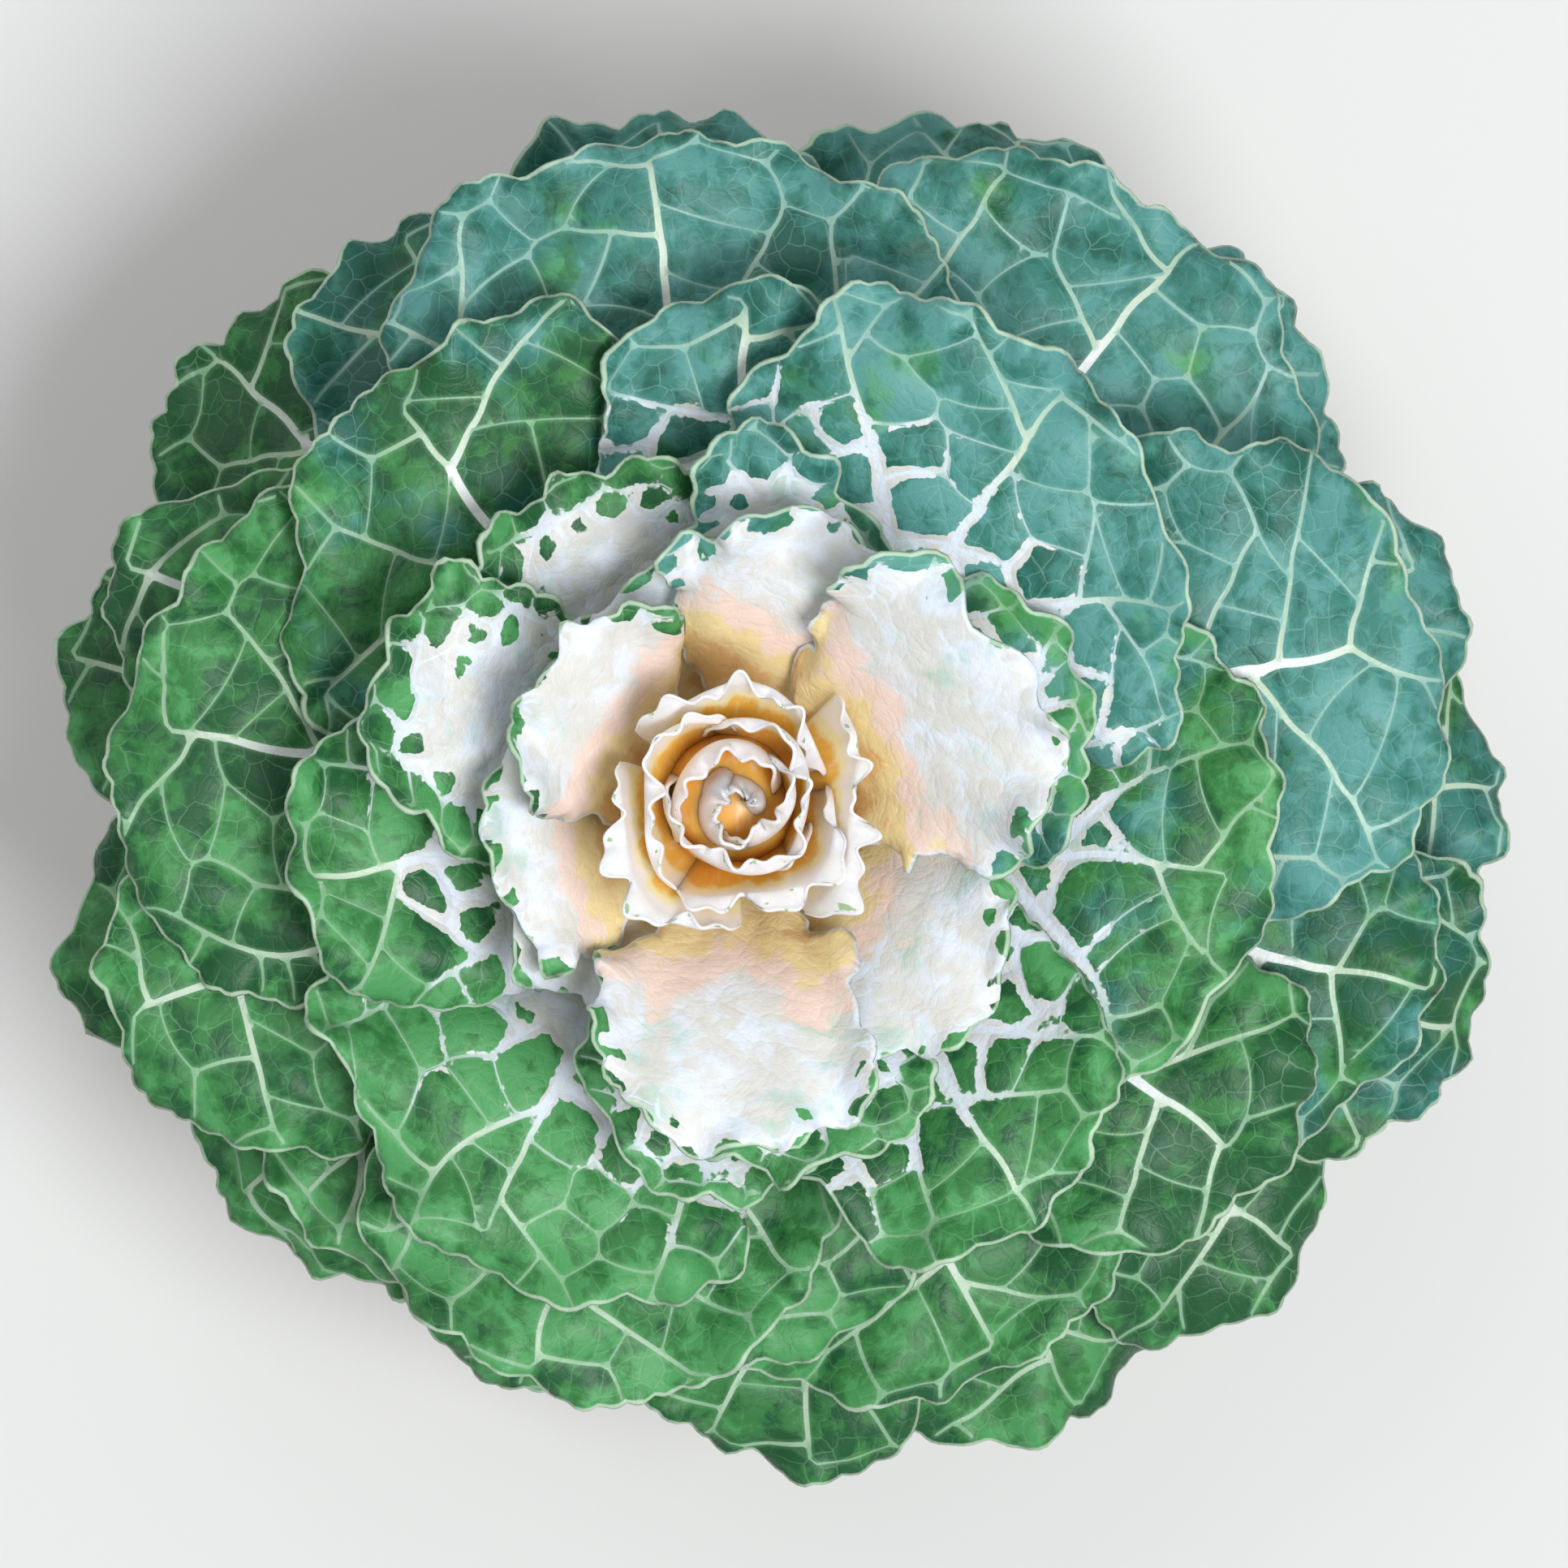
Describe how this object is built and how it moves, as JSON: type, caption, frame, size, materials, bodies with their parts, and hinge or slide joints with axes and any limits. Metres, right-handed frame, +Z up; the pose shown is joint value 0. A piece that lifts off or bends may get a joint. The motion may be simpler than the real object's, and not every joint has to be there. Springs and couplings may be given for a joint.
{
  "type": "potted ornamental cabbage plant",
  "caption": "Ornamental cabbage in a plain clay pot: low rosette of waved, veined green leaves round a tight cream heart.",
  "frame": {"origin": "centre of the pot's underside, on the stalk's axis", "axes": "+Z up along the stalk, +Y towards the top of the plan view, +X towards its right"},
  "size_m": [0.3395, 0.3175, 0.2902],
  "materials": {
    "pot": "fired terracotta, matt",
    "soil": "potting soil of peat and bark, crumbly",
    "stalk": "pale green stalk with leaf scars",
    "leaf_green": "waxy green leaf with pale veins",
    "leaf_teal": "waxy blue-green leaf with pale veins",
    "leaf_inner": "waxy leaf, cream at its foot",
    "leaf_fringed": "cream leaf with a green fringe",
    "leaf_cream": "cream-white leaf flecked with green",
    "heart": "cream and yellow rose of small leaves"
  },
  "bodies": {
    "root": {"heart": "heart", "leaf_cream_01": "leaf_cream", "leaf_cream_02": "leaf_cream", "leaf_cream_03": "leaf_cream", "leaf_cream_04": "leaf_cream", "leaf_cream_05": "leaf_cream", "leaf_cream_06": "leaf_cream", "leaf_cream_07": "leaf_cream", "leaf_cream_08": "leaf_cream", "leaf_fringed_01": "leaf_fringed", "leaf_fringed_02": "leaf_fringed", "leaf_fringed_03": "leaf_fringed", "leaf_fringed_04": "leaf_fringed", "leaf_fringed_05": "leaf_fringed", "leaf_fringed_06": "leaf_fringed", "leaf_inner_01": "leaf_inner", "leaf_inner_02": "leaf_inner", "leaf_inner_03": "leaf_inner", "leaf_inner_04": "leaf_inner", "leaf_inner_05": "leaf_inner", "leaf_inner_06": "leaf_inner", "leaf_middle_01": "leaf_teal", "leaf_middle_02": "leaf_teal", "leaf_middle_03": "leaf_teal", "leaf_middle_04": "leaf_teal", "leaf_middle_05": "leaf_teal", "leaf_middle_06": "leaf_teal", "leaf_middle_07": "leaf_teal", "leaf_middle_08": "leaf_teal", "leaf_middle_09": "leaf_teal", "leaf_middle_10": "leaf_teal", "leaf_middle_11": "leaf_teal", "leaf_middle_12": "leaf_teal", "leaf_middle_13": "leaf_teal", "leaf_outer_01": "leaf_green", "leaf_outer_02": "leaf_green", "leaf_outer_03": "leaf_green", "leaf_outer_04": "leaf_green", "leaf_outer_05": "leaf_green", "leaf_outer_06": "leaf_green", "leaf_outer_07": "leaf_green", "leaf_outer_08": "leaf_green", "leaf_outer_09": "leaf_green", "leaf_outer_10": "leaf_green", "leaf_outer_11": "leaf_green", "leaf_outer_12": "leaf_green", "leaf_outer_13": "leaf_green", "leaf_outer_14": "leaf_green", "leaf_outer_15": "leaf_green", "pot": "pot", "soil": "soil", "stalk": "stalk"}
  },
  "joints": []
}
